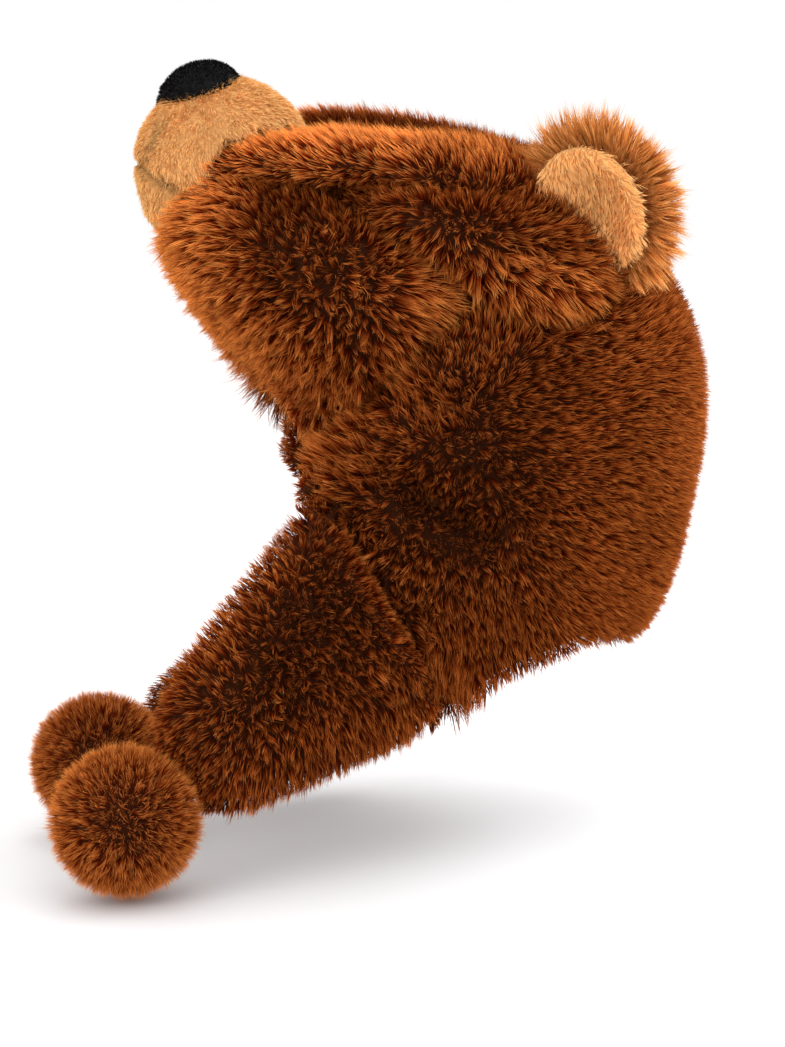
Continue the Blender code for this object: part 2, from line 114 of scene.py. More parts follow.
# Folds of the hood seen from either side, as points one after another, in millimetres. Each is a
# crease with a roll along its left as it runs.
HOOD_CREASES = (
    # crease, y, z, depth, half width, roll
    ("brow", -112, 14, 5.0, 5.0, 2.0),
    ("brow", -81, 9, 7.0, 5.0, 3.0),
    ("brow", -63, 7, 7.0, 5.0, 3.0),
    ("brow", -36, 8, 6.0, 5.0, 3.0),
    ("brow", -8, 6, 4.0, 5.0, 2.0),
    ("brow", 19, 2, 2.0, 5.0, 1.0),
    ("fold_rim", -66, 3, 4.0, 4.0, 1.0),
    ("fold_rim", -47, -10, 7.0, 4.5, 3.0),
    ("fold_rim", -25, -24, 9.0, 5.0, 5.0),
    ("fold_rim", -2, -40, 10.0, 6.0, 6.0),
    ("fold_rim", 15, -50, 10.0, 6.0, 6.0),
    ("fold_rim", 38, -51, 8.0, 6.0, 5.0),
    ("fold_rim", 55, -43, 5.0, 6.0, 3.0),
    ("cheek_seam", -2, -42, 8.0, 5.0, 2.0),
    ("cheek_seam", -22, -58, 9.0, 5.0, 3.0),
    ("cheek_seam", -40, -76, 9.0, 5.0, 3.5),
    ("cheek_seam", -58, -93, 8.0, 5.0, 3.0),
    ("cheek_seam", -80, -112, 6.0, 5.0, 2.0),
    ("side_dip", -46, -116, 2.0, 9.0, 0.0),
    ("side_dip", -25, -131, 4.0, 10.0, 0.0),
    ("side_dip", 0, -146, 3.0, 10.0, 0.0),
)
ROLL_AWAY = 12.0
ROLL_WIDTH = 9.0
# Creases and rolls are this much deeper and higher than their figures in the table.
CREASE_STRETCH = 1.35
ROLL_STRETCH = 1.2
# The fur is shorter in a crease and darkened there with painted shade, darkest where it is this many
# millimetres deep.
DARKEST_DEPTH = 6.5
CREASE_CROPS = 0.40
CREASE_PAINTED_SHADE = 0.70
CREASE_PAINTED_SHADE_POWER = 1.5
# Folds are pressed into the hood's sides, from this far off its middle. The gains say how fast a slope
# counts as a side, or as facing up or down.
SIDES_FROM = 0.045
SIDE_GAIN = 3
SLOPE_GAIN = 1.5

# Valley between the brows, along the middle of the hood's top: start and end of its fade to the back.
BROW_VALLEY_WIDTH = 15 * MM
BROW_VALLEY_DEPTH = 14 * MM
BROW_VALLEY_FADE = (-0.030, 0.035)
BROW_VALLEY_CROPS = 0.60
# Left and right brow ridge, raised if positive, and how far off the middle they run.
BROW_RIDGES = (-4.5 * MM, 6.5 * MM)
BROW_RIDGE_ACROSS = 38 * MM
# The fur lies flatter along the middle and is darkened there with painted shade, from the outer distance to
# the inner one.
BROW_INNER = 22 * MM
BROW_OUTER = 42 * MM
BROW_ASIDE = 3 * MM
BROW_FRONT = -0.092
BROW_FRONT_FADE = 10 * MM
BROW_VALLEY_PAINTED_SHADE = 0.42
BROW_MIDDLE_LEAN = 0.2

# The hood sinks under the muzzle, within this many of the muzzle's own half sizes from its middle, and
# its fur starts outside the last of these shares of them.
MUZZLE_SADDLE = 6 * MM
SADDLE_REACH = 1.5
SADDLE_FADE = 0.5
HOOD_FUR_UNDER_MUZZLE = 0.90

# Seam with a flap: the fur is cut shorter on the flap and leans towards the hood, and is left longer on
# the hood, so that it runs over.
SEAM_BLEND = 8 * MM
FLAP_CUT = 0.15
FLAP_SEAM_LEAN = 6.0
TOWARDS_HOOD = (0.9, 0.45)
HOOD_GROWN = 0.35
FLAP_SKIN_ROUNDS = 8

# The cheeks' lower edges, where the right one's tufts stand out past the left one, darkened with painted
# shade because they stand in shadow: place, radius and growth.
RIGHT_TUFTS = (-86, -92, 22, 1.1)
LEFT_CUT = (-104, -74, 22, -0.42)
RIGHT_TUFT_PAINTED_SHADE = 0.30

# Lie of the fur seen from either side, in millimetres: the way it leans, how far it leans as a share
# of its height, its length, its tone, and how much it parts into locks. The tone is painted light and
# shade:
# lighter where light falls on the brows, front edges and fold rims, and darker where shade falls below
# them.
# Length 1 is this share of the reach of the solids' locks. Rows blend into each other, smoothly within the
# root of this many millimetres.
LOCK_HEIGHT = 0.88
ROW_BLEND = 25.0
FUR_LIE = (
    # y, z, comb_y, comb_z, lean, length, tone, parted
    (-118, 30, -0.8, 0.3, 0.70, 0.75, 0.90, 0.6),
    (-104, 28, -0.8, 0.4, 0.70, 0.65, 0.80, 0.6),
    (-98, 18, -0.9, 0.4, 0.60, 0.90, 0.60, 0.6),
    (-71, 24, -0.9, 0.5, 0.90, 0.90, 0.70, 0.6),
    (-34, 22, -0.9, 0.5, 0.90, 0.90, 0.60, 0.6),
    (3, 19, -0.6, 0.8, 0.70, 0.90, 0.40, 0.7),
    (33, 16, -0.4, 0.9, 0.60, 0.95, 0.15, 0.7),
    (60, 8, 0.4, 0.9, 0.50, 0.90, 0.10, 0.6),
    (-88, -2, -0.3, 0.3, 0.20, 0.95, -0.28, 1.3),
    (-63, 0, -0.7, 0.2, 0.30, 0.95, -0.22, 1.1),
    (-40, 1, -0.8, -0.1, 0.45, 1.0, -0.02, 1.0),
    (-36, -8, -0.7, -0.6, 0.50, 1.0, 0.05, 1.0),
    (-15, -3, -0.5, -0.5, 0.45, 1.0, 0.0, 1.0),
    (-12, -18, -0.2, -0.9, 0.60, 1.0, 0.08, 1.1),
    (10, -8, 0.3, -0.5, 0.40, 1.0, -0.08, 1.0),
    (8, -26, 0.5, -0.8, 0.75, 1.10, 0.20, 1.2),
    (30, -18, 0.6, -0.6, 0.55, 1.05, 0.02, 1.1),
    (32, -34, 0.6, -0.8, 0.85, 1.15, 0.30, 1.2),
    (40, 2, 0.0, 0.3, 0.20, 0.9, -0.15, 0.8),
    (-78, -22, -0.3, 0.0, 0.10, 0.95, -0.10, 1.4),
    (-30, -38, 0.8, -0.5, 0.85, 1.05, 0.22, 0.8),
    (-18, -46, 0.8, -0.5, 0.85, 1.05, 0.28, 0.8),
    (-50, -30, 0.5, -0.6, 0.40, 1.0, 0.0, 1.2),
    (-60, -55, 0.1, -1.0, 0.30, 1.0, -0.05, 1.4),
    (-68, -88, 0.1, -1.0, 0.50, 1.05, 0.03, 1.2),
    (-42, -62, 0.5, -0.8, 0.45, 1.0, 0.0, 1.2),
    (-128, -20, -0.9, -0.4, 0.60, 1.30, 0.32, 1.1),
    (-110, -58, -0.8, -0.6, 0.60, 1.30, 0.22, 1.2),
    (-95, -92, -0.5, -0.8, 0.60, 1.25, 0.16, 1.2),
    (-118, 14, -0.9, 0.2, 0.60, 1.0, 0.60, 0.7),
    (-124, 0, -0.9, -0.1, 0.60, 1.15, 0.50, 0.7),
    (-30, -84, -0.6, 0.8, 0.70, 1.10, 0.0, 0.8),
    (-62, -110, -0.8, 0.6, 0.80, 1.15, 0.10, 0.8),
    (0, -64, -0.3, 1.0, 0.55, 1.0, 0.02, 0.8),
    (25, -82, 0.9, 0.1, 0.40, 0.90, -0.12, 0.6),
    (50, -95, 0.9, 0.2, 0.45, 0.80, -0.03, 0.5),
    (80, -40, 0.6, 0.7, 0.45, 0.80, 0.0, 0.4),
    (95, -100, 0.7, -0.4, 0.40, 0.80, 0.02, 0.4),
    (60, -160, 0.9, -0.4, 0.45, 0.85, -0.04, 0.5),
    (0, -192, 0.1, -1.0, 0.45, 0.85, -0.10, 0.6),
    (-15, -130, -0.1, -0.3, 0.10, 0.95, -0.20, 1.0),
    (-85, -128, -0.8, 0.4, 0.50, 1.0, 0.10, 0.8),
    (-64, -150, -0.3, -0.4, 0.20, 1.0, -0.08, 1.0),
    (-36, -185, -0.2, -0.6, 0.20, 1.0, -0.08, 1.0),
    (-18, -212, -0.2, -1.0, 0.70, 1.1, -0.05, 0.7),
    (-100, -155, -0.7, 0.7, 0.50, 1.0, 0.14, 0.8),
    (-125, -192, -0.7, 0.7, 0.50, 1.0, 0.14, 0.8),
    (-92, -205, -0.3, -0.6, 0.20, 1.0, -0.18, 1.1),
    (-70, -182, -0.2, -0.5, 0.20, 1.0, -0.20, 1.1),
    (-65, -238, -0.2, -0.9, 0.50, 0.95, -0.12, 0.7),
    (-105, -252, -0.4, -0.8, 0.50, 0.95, -0.05, 0.7),
    (-135, -225, -0.8, -0.5, 0.40, 0.95, 0.0, 0.8),
)

# Colours of a strand's root, body and tip. The tips of the darker strands are a share of the pale tips'
# red, green and blue.
BROWN_ROOT = (0.022, 0.002, 0.0003)
BROWN_BODY = (0.20, 0.018, 0.0015)
BROWN_TIP = (0.82, 0.34, 0.075)
EAR_ROOT = (0.30, 0.09, 0.018)
EAR_BODY = (0.60, 0.22, 0.045)
EAR_TIP = (0.94, 0.60, 0.22)
TAN_ROOT = (0.70, 0.37, 0.13)
TAN_BODY = (0.88, 0.50, 0.18)
TAN_TIP = (0.95, 0.66, 0.30)
BLACK_ROOT = (0.004, 0.004, 0.005)
BLACK_TIP = (0.03, 0.03, 0.034)
DULL_TIP = (0.95, 0.60, 0.45)
DULL_TAN_TIP = (1.0, 0.84, 0.68)
# Where along a strand the root turns to the body and the body to the tip, and the shades between which
# the dull tip turns to the pale one.
ROOT_TO_BODY = (0.1, 0.65)
BODY_TO_TIP = (0.5, 1.05)
DULL_TO_PALE = (0.3, 1.0)
# Brightness of a strand: the least, and what its shade and the fur's patches add.
LEAST_BRIGHT = 0.02
SHADE_BRIGHT = 1.50
PATCH_BRIGHT = 0.40
FIBRE_SHINE = 0.10
SHEEN_ROUGHNESS = 0.45
# Cloth: how fine its loops and clouds are, and their shares of its tone.
LOOPS = 900.0
CLOUDS = 35.0
LOOP_SHARE = 0.6
CLOUD_SHARE = 0.4
LOOP_HEIGHT = 0.6 * MM

# Fur styles. Lengths are in metres; rise and lie stretch the lock's reach out and along the skin.
STYLES = {
    "long": {"spacing": 0.87 * MM, "lock": 2.3 * MM, "width": 0.43 * MM, "rise": 1.05, "lie": 1.0,
             "lock_stray": 0.17, "lock_spread": 0.10, "stray": 0.09, "spread": 0.09, "pull": 0.62,
             "loose": 0.15, "lock_shade": 0.12, "shade": 0.10, "bulge": 0.6, "round": 0.35, "turn": 0.9},
    "pompom": {"spacing": 0.62 * MM, "lock": 2.0 * MM, "width": 0.26 * MM, "rise": 1.0, "lie": 1.0,
               "lock_stray": 0.12, "lock_spread": 0.04, "stray": 0.11, "spread": 0.04, "pull": 0.4,
               "loose": 0.3, "lock_shade": 0.06, "shade": 0.09, "bulge": 0.5, "round": 0.35, "turn": 0.9},
    "ear": {"spacing": 0.61 * MM, "lock": 2.2 * MM, "width": 0.34 * MM, "rise": 1.1, "lie": 1.2,
            "lock_stray": 0.16, "lock_spread": 0.12, "stray": 0.08, "spread": 0.10, "pull": 0.6,
            "loose": 0.25, "lock_shade": 0.10, "shade": 0.12, "bulge": 0.5, "round": 0.35, "turn": 0.9},
    "short": {"spacing": 0.72 * MM, "lock": 2.2 * MM, "width": 0.40 * MM, "rise": 1.0, "lie": 1.0,
              "lock_stray": 0.14, "lock_spread": 0.08, "stray": 0.14, "spread": 0.08, "pull": 0.3,
              "loose": 0.4, "lock_shade": 0.04, "shade": 0.03, "bulge": 0.3, "round": 0.2, "turn": 0.9},
}
# A piece of fur has no more strands than this.
MOST_STRANDS = 99000
# More strands where the hood's fur hangs over its edges.
HEM_EXTRA = 0.5
# How far inside the skin a strand starts, at most, and as a share of its length.
ROOT_INSIDE = 3.5 * MM
ROOT_INSIDE_SHARE = 0.25
# Where a strand bends: its share of the rise, of the lean and of the stray.
BEND_RISE = 0.52
BEND_LEAN = 0.26
BEND_STRAY = 0.3
# A lock's strands gather: what a tip and a bend keep of their place in the lock, and how hard a bend and
# a loose strand are pulled, as shares of a tip's pull.
TIP_KEEPS = 0.22
BEND_KEEPS = 0.9
BEND_PULL = 0.5
LOOSE_PULL = 0.25
# Shade of a strand that is neither lighter nor darker than its pile, and the lightest shade.
PLAIN_SHADE = 0.5
MOST_SHADE = 1.6
# How much the strands' widths differ, and how far along its colours a strand bends.
WIDTH_SPREAD = 0.2
BEND_ALONG = 0.55

# Short pile, cropped and darkened at a seam and in the lining's hollow: its height, how far it is combed
# over, and its tone. The darkening is painted shade, and along the mouth seam partly the seam's own dark
# line. An ear's lining has pile only on the faces that look its way.
SEAM_CROPS = 0.6
SEAM_LINE_AND_PAINTED_SHADE = 0.45
LINING_PILE = 3.2 * MM
# Painted light: the lining's pile is made lighter than the muzzle's, for the light it catches.
LINING_PAINTED_LIGHT = 0.22
LINING_COMB = 30
LINING_FACING = -0.1
LINING_HOLLOW_PAINTED_SHADE = 0.35
MUZZLE_PILE = 2.5 * MM
MUZZLE_COMB = 1.6
MUZZLE_TONE = 0.04
NOSE_PILE = 1.6 * MM
NOSE_COMB = 0.5

# Fur of an ear: how far it stands out from the middle, less on the back, and off the skin.
EAR_FUR_OUT = 0.70
EAR_FUR_LESS_BEHIND = 0.26
EAR_FUR_OFF = 0.30
EAR_FUR_TONE = 0.1
# Painted light: the pompoms' fur is made lighter for the light that falls on them.
POMPOM_PAINTED_LIGHT = 0.25

# Lamps: place, size and strength; all face the hat.
LAMPS = (
    # name, x, y, z, size, watts
    ("front_lamp", 1.30, -1.00, 0.45, 0.9, 6.0),
    ("back_lamp", -0.50, 1.10, 0.75, 0.8, 9.0),
)
SKY_LIGHT = 0.92
TOP_LIGHT = 1.5
TOP_LIGHT_SPREAD = math.radians(110.0)
TOP_LIGHT_LEAN = (math.radians(-14.0), math.radians(12.0), 0.0)


class Tone:
    """A number or colour that varies over a surface, used in sums as a plain number is."""

    def __init__(self, finish, socket):
        self.finish = finish
        self.socket = socket

    def sum(self, operation, first, second):
        return self.finish.node("ShaderNodeMath", {"operation": operation}, {0: first, 1: second})

    def __add__(self, other):
        return self.sum("ADD", self, other)

    def __radd__(self, other):
        return self.sum("ADD", other, self)

    def __mul__(self, other):
        return self.sum("MULTIPLY", self, other)

    def __rmul__(self, other):
        return self.sum("MULTIPLY", other, self)


class Finish:
    """The nodes of one material."""

    def __init__(self, name):
        self.material = bpy.data.materials.new(name)
        self.material.use_nodes = True
        self.tree = self.material.node_tree
        self.tree.nodes.clear()

    def node(self, kind, settings=(), inputs=(), output=0):
        """Add a node, its settings first and then what its sockets hold or are joined to."""
        made = self.tree.nodes.new(kind)
        for key, value in dict(settings).items():
            setattr(made, key, value)
        for key, value in dict(inputs).items():
            if isinstance(value, Tone):
                self.tree.links.new(value.socket, made.inputs[key])
            else:
                made.inputs[key].default_value = value
        return Tone(self, made.outputs[output])

    def colour_mix(self, share, first, second, way="MIX"):
        """Blend two colours."""
        colours = [c if isinstance(c, Tone) else (*c, 1.0) for c in (first, second)]
        return self.node("ShaderNodeMix", {"data_type": "RGBA", "blend_type": way},
                         {0: share, 6: colours[0], 7: colours[1]}, output=2)

    def grey(self, value):
        """A number as a grey colour."""
        return self.node("ShaderNodeCombineColor", {}, {0: value, 1: value, 2: value})

    def attribute(self, name):
        """A number kept on the strands."""
        return self.node("ShaderNodeAttribute", {"attribute_name": name}, {}, output=2)

    def noise(self, scale, detail=3.0, roughness=0.6):
        """Cloudy noise over the piece, from 0 to 1."""
        place = self.node("ShaderNodeTexCoord", {}, {}, output=3)
        return self.node("ShaderNodeTexNoise", {},
                         {"Vector": place, "Scale": scale, "Detail": detail, "Roughness": roughness})

    def steps(self, value, low, high):
        """Rise smoothly from 0 to 1 as the value goes from low to high."""
        return self.node("ShaderNodeMapRange", {"interpolation_type": "SMOOTHSTEP"},
                         {"Value": value, "From Min": low, "From Max": high})

    def show(self, shader):
        output = self.tree.nodes.new("ShaderNodeOutputMaterial")
        self.tree.links.new(shader.socket, output.inputs["Surface"])
        return self.material


def pile_finish(name, root, body, tip, roughness, sheen, see_through, patch_scale, dulling=DULL_TIP):
    """Fur whose strands go from a dark root to a pale tip, each lock a little lighter or darker."""
    finish = Finish(name)
    along = finish.attribute("along")
    shade = finish.attribute("shade")
    patches = finish.noise(patch_scale)
    colour = finish.colour_mix(finish.steps(along, *ROOT_TO_BODY), root, body)
    dull = tuple(part * share for part, share in zip(tip, dulling))
    colour = finish.colour_mix(finish.steps(along, *BODY_TO_TIP), colour,
                               finish.colour_mix(finish.steps(shade, *DULL_TO_PALE), dull, tip))
    bright = LEAST_BRIGHT + shade * SHADE_BRIGHT + patches * PATCH_BRIGHT
    colour = finish.colour_mix(1.0, colour, finish.grey(bright), "MULTIPLY")
    fibre = finish.node("ShaderNodeBsdfPrincipled", {}, {
        "Base Color": colour, "Roughness": roughness, "Specular IOR Level": FIBRE_SHINE,
        "Specular Tint": (*tip, 1.0), "Sheen Weight": sheen, "Sheen Roughness": SHEEN_ROUGHNESS,
        "Sheen Tint": (*tip, 1.0)})
    if see_through == 0:
        return finish.show(fibre)
    glow = finish.node("ShaderNodeBsdfTranslucent", {}, {"Color": colour})
    return finish.show(finish.node("ShaderNodeMixShader", {}, {0: see_through, 1: fibre, 2: glow}))


def cloth_finish(name, dark, light, roughness):
    """Cloth backing or fleece lining, with fine loops and clouds of a darker and a lighter tone."""
    finish = Finish(name)
    loops = finish.noise(LOOPS)
    clouds = finish.noise(CLOUDS)
    colour = finish.colour_mix(loops * LOOP_SHARE + clouds * CLOUD_SHARE, dark, light)
    bump = finish.node("ShaderNodeBump", {}, {"Height": loops, "Strength": 0.5, "Distance": LOOP_HEIGHT})
    return finish.show(finish.node("ShaderNodeBsdfPrincipled", {}, {
        "Base Color": colour, "Roughness": roughness, "Normal": bump, "Specular IOR Level": FIBRE_SHINE}))


def floor_finish():
    finish = Finish("pale_floor")
    clouds = finish.noise(3.0)
    colour = finish.colour_mix(clouds, (0.86, 0.86, 0.87), (0.90, 0.90, 0.90))
    return finish.show(finish.node("ShaderNodeBsdfPrincipled", {},
                                   {"Base Color": colour, "Roughness": 0.6}))


def piece_object(name, mesh, materials):
    piece = bpy.data.objects.new(name, mesh)
    bpy.context.scene.collection.objects.link(piece)
    for material in materials:
        mesh.materials.append(material)
    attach(piece, BODY)
    return piece


def bare_form(node, levels):
    """A node's form without its locks, smoothed, and each lock's root and reach."""
    bm = bmesh.new()
    bm.from_mesh(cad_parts[node].data)
    bmesh.ops.remove_doubles(bm, verts=bm.verts, dist=SAME_POINT)
    bm.normal_update()
    tips = []
    locks = []
    for vert in bm.verts:
        if len(vert.link_edges) in (3, 4):
            ring = [edge.other_vert(vert).co for edge in vert.link_edges]
            root = sum(ring, Vector()) / len(ring)
            if (vert.co - root).dot(vert.normal) > LOCK_LEAST:
                tips.append(vert)
                locks.append((root, vert.co - root))
    bmesh.ops.dissolve_verts(bm, verts=tips)
    bmesh.ops.recalc_face_normals(bm, faces=bm.faces)
    firm = bm.edges.layers.float.new("crease_edge")
    for edge in bm.edges:
        if edge.is_manifold and edge.calc_face_angle() > FIRM_ANGLE:
            edge[firm] = 1.0
    mesh = bpy.data.meshes.new(node + "_form")
    bm.to_mesh(mesh)
    bm.free()
    holder = bpy.data.objects.new(node + "_holder", mesh)
    bpy.context.scene.collection.objects.link(holder)
    holder.modifiers.new("smooth", "SUBSURF").levels = levels
    bpy.context.view_layer.update()
    smooth = bpy.data.meshes.new_from_object(holder.evaluated_get(bpy.context.evaluated_depsgraph_get()))
    bpy.data.objects.remove(holder)
    smooth.polygons.foreach_set("use_smooth", [True] * len(smooth.polygons))
    return smooth, locks


def numbers(items, key, width):
    """One value of each vertex or edge, as rows of numbers."""
    values = np.zeros(len(items) * width, np.int32 if key == "vertices" else np.float32)
    items.foreach_get(key, values)
    return values.reshape(-1, width).astype(float)


def skin_normals(mesh):
    """Which way a form's skin faces at each point, leaving out the faces sewn against another piece."""
    return skins.get(mesh.name, numbers(mesh.vertices, "normal", 3))


def sew(mesh, others, rounds):
    """Find a form's skin normals from its faces that lie clear of other forms, and even them out."""
    surfaces = [surface_of(other) for other in others]
    total = np.zeros((len(mesh.vertices), 3))
    for face in mesh.polygons:
        if min(surface.find_nearest(face.center)[3] for surface in surfaces) > SEWN_WITHIN:
            total[list(face.vertices)] += np.array(face.normal) * face.area
    free = np.linalg.norm(total, axis=1, keepdims=True) > 0
    skin = unit(total)
    ends = numbers(mesh.edges, "vertices", 2).astype(int)
    for _ in range(rounds):
        total = skin.copy()
        np.add.at(total, ends[:, 0], skin[ends[:, 1]])
        np.add.at(total, ends[:, 1], skin[ends[:, 0]])
        skin = unit(total) * free
    skins[mesh.name] = np.where(free, skin, numbers(mesh.vertices, "normal", 3))


def lie_of_fur(mesh, locks):
    """How the fur reaches out at each point of a form, as a vector, none where it is bare."""
    surface = surface_of(mesh)
    tree = KDTree(len(locks))
    ways = []
    for index, (root, _) in enumerate(locks):
        tree.insert(root, index)
        ways.append(surface.find_nearest(root)[1])
    tree.balance()
    field = np.zeros((len(mesh.vertices), 3))
    for vert in mesh.vertices:
        total = Vector()
        weights = 0.0
        used = 0
        for _, index, away in tree.find_n(vert.co, LOCKS_SEARCHED):
            if ways[index].dot(vert.normal) < FACING_LEAST or used == LOCKS_BLENDED:
                continue
            weight = 1.0 / (away + MM) ** 2
            total += weight * locks[index][1]
            weights += weight
            used += 1
        if used:
            field[vert.index] = total / weights
    return field


class Roots:
    """Places on a form that strands grow from: which way is out, and how the fur lies at each as its
    reach in three numbers, its tone, and how much it parts."""

    def __init__(self, mesh, fur, spacing, draw):
        mesh.calc_loop_triangles()
        corners = np.zeros(len(mesh.loop_triangles) * 3, np.int32)
        mesh.loop_triangles.foreach_get("vertices", corners)
        corners = corners.reshape(-1, 3)
        points = numbers(mesh.vertices, "co", 3)
        normals = skin_normals(mesh)
        furry = np.linalg.norm(fur[:, :3], axis=1) > 0
        corners = corners[furry[corners].all(axis=1)]
        sides = points[corners]
        area = np.linalg.norm(np.cross(sides[:, 1] - sides[:, 0], sides[:, 2] - sides[:, 0]), axis=1) / 2
        under = np.clip(-normals[corners].mean(axis=1)[:, 2] * SLOPE_GAIN, 0, 1)
        area *= 1 + (HEM_EXTRA if mesh.name.startswith("hood") else 0) * under
        count = int(area.sum() / spacing ** 2)
        chosen = np.searchsorted(np.cumsum(area), draw.random(count) * area.sum())
        chosen = np.minimum(chosen, len(area) - 1)
        shares = draw.random((count, 2))
        flip = shares.sum(axis=1) > 1
        shares[flip] = 1 - shares[flip]
        shares = np.column_stack((1 - shares.sum(axis=1), shares))[:, :, None]
        self.place = (points[corners[chosen]] * shares).sum(axis=1)
        self.out = unit((normals[corners[chosen]] * shares).sum(axis=1))
        self.fur = (fur[corners[chosen]] * shares).sum(axis=1)

    def some(self, chosen):
        """The roots chosen by a mask or by their numbers."""
        kept = Roots.__new__(Roots)
        kept.place = self.place[chosen]
        kept.out = self.out[chosen]
        kept.fur = self.fur[chosen]
        return kept


def unit(vectors):
    return vectors / np.maximum(np.linalg.norm(vectors, axis=1, keepdims=True), 1e-9)


def dot(first, second):
    return (first * second).sum(axis=1, keepdims=True)


def lock_numbers(place, centres):
    """Which lock each strand belongs to: the nearest of the locks' middles."""
    tree = KDTree(len(centres))
    for index, centre in enumerate(place[centres]):
        tree.insert(centre, index)
    tree.balance()
    return np.array([tree.find(p)[1] for p in place])


def grow(roots, style, draw):
    """Start, bend and tip of each strand, gathered into pointed locks, with its shade and place in its
    lock. A strand starts a little inside the skin, so that it is already wide where it comes out."""
    count = len(roots.place)
    reach = roots.fur[:, :3]
    parted = roots.fur[:, 4:5]
    height = dot(reach, roots.out)
    lie = reach - roots.out * height
    per_lock = (style["spacing"] / style["lock"]) ** 2
    centres = draw.choice(count, max(1, int(count * per_lock)), replace=False)
    lock = lock_numbers(roots.place, centres)
    size = np.linalg.norm(reach, axis=1, keepdims=True)

    swing = draw.normal(0, style["lock_stray"], (len(centres), 3))[lock] * size * parted
    swing -= roots.out * dot(swing, roots.out)
    stretch = 1 + draw.normal(0, style["lock_spread"], (len(centres), 1))[lock] * parted
    stray = draw.normal(0, style["stray"], (count, 3)) * size
    own = 1 + draw.normal(0, style["spread"], (count, 1))

    rise = roots.out * height * style["rise"]
    along = lie * style["lie"] + swing
    bend = roots.place + (rise * BEND_RISE + along * BEND_LEAN + stray * BEND_STRAY) * stretch * own
    tip = roots.place + (rise + along + stray) * stretch * own

    middle = centres[lock]
    offset = roots.place - roots.place[middle]
    loose = draw.random((count, 1)) < style["loose"]
    pull = style["pull"] * np.where(loose, LOOSE_PULL, 1.0) * np.minimum(parted, 1)
    tip += (tip[middle] + offset * TIP_KEEPS - tip) * pull
    bend += (bend[middle] + offset * BEND_KEEPS - bend) * pull * BEND_PULL

    shade = PLAIN_SHADE + draw.normal(0, style["lock_shade"], (len(centres), 1))[lock] * parted
    # The fur's tone, which is painted light and shade where the pieces' fur carries it, adds to each lock's
    # and strand's random shade.
    shade = shade + draw.normal(0, style["shade"], (count, 1)) + roots.fur[:, 3:4]
    inside = np.minimum(ROOT_INSIDE, ROOT_INSIDE_SHARE * size) * unit(tip - roots.place)
    return roots.place - inside, bend, tip, np.clip(shade, 0, MOST_SHADE), offset


def strand_mesh(name, start, bend, tip, out, shade, offset, style, draw):
    """Each strand as a narrow blade of two triangles, widest at its bend, lit as a round fibre. Its four
    points are its start, the two sides of its bend, and its tip."""
    count = len(start)
    run = unit(tip - start)
    bulge = out + offset / style["lock"] * style["bulge"] + draw.normal(0, style["round"], (count, 3))
    light = unit(bulge - run * dot(bulge, run))
    across = unit(np.cross(run, light))
    turn = draw.uniform(-1.0, 1.0, (count, 1)) * style["turn"]
    side = unit(across * np.cos(turn) + light * np.sin(turn))
    width = style["width"] * (1 + draw.normal(0, WIDTH_SPREAD, (count, 1))) / 2

    points = np.stack((start, bend - side * width, bend + side * width, tip), axis=1)
    bases = np.arange(count, dtype=np.int32)[:, None] * 4
    corners = (bases + np.array([0, 2, 1, 1, 2, 3], np.int32)).ravel()
    mesh = bpy.data.meshes.new(name)
    mesh.vertices.add(count * 4)
    mesh.vertices.foreach_set("co", points.astype(np.float32).ravel())
    mesh.loops.add(count * 6)
    mesh.loops.foreach_set("vertex_index", corners)
    mesh.polygons.add(count * 2)
    mesh.polygons.foreach_set("loop_start", np.arange(count * 2, dtype=np.int32) * 3)
    mesh.polygons.foreach_set("use_smooth", np.ones(count * 2, bool))
    mesh.update(calc_edges=True)
    along = np.tile(np.array([0.0, BEND_ALONG, BEND_ALONG, 1.0], np.float32), count)
    mesh.attributes.new("along", "FLOAT", "POINT").data.foreach_set("value", along)
    shades = np.repeat(shade.astype(np.float32), 4)
    mesh.attributes.new("shade", "FLOAT", "POINT").data.foreach_set("value", shades)
    mesh.normals_split_custom_set_from_vertices(np.repeat(light, 4, axis=0).astype(np.float32))
    return mesh


def plant(name, mesh, fur, style_name, material, seed, keep=()):
    """Cover a form with strands, in as many pieces as their number asks."""
    style = STYLES[style_name]
    draw = np.random.default_rng(seed)
    roots = Roots(mesh, fur, style["spacing"], draw)
    for test in keep:
        roots = roots.some(test(roots))
    start, bend, tip, shade, offset = grow(roots, style, draw)
    count = len(roots.place)
    parts = math.ceil(count / MOST_STRANDS)
    order = np.argsort(roots.place[:, 1]) if parts > 1 else np.arange(count)
    for number, chosen in enumerate(np.array_split(order, parts), 1):
        label = name + "_fur" + ("_%d" % number if parts > 1 else "")
        made = strand_mesh(label, start[chosen], bend[chosen], tip[chosen], roots.out[chosen],
                           shade[chosen], offset[chosen], style, draw)
        piece = piece_object(label, made, [material])


def surface_of(mesh):
    return BVHTree.FromPolygons([v.co for v in mesh.vertices], [tuple(p.vertices) for p in mesh.polygons])


def clear_of(mesh, gap):
    """Keep the strands whose roots are further than a gap from another form."""
    surface = surface_of(mesh)
    points = numbers(mesh.vertices, "co", 3)
    low, high = points.min(axis=0) - gap, points.max(axis=0) + gap

    def test(roots):
        near = ((roots.place > low) & (roots.place < high)).all(axis=1)
        kept = np.ones(len(near), bool)
        for index in np.nonzero(near)[0]:
            kept[index] = surface.find_nearest(roots.place[index])[3] > gap
        return kept
    return test


def outside_egg(centre, sizes, share):
    """Keep the strands whose roots lie outside an egg."""
    def test(roots):
        away = (roots.place - np.array(centre)) / (np.array(sizes) * share)
        return np.linalg.norm(away, axis=1) > 1
    return test


def facing(way, least):
    """Keep the strands that grow on the side facing one way."""
    def test(roots):
        return roots.out @ np.array(way) > least
    return test


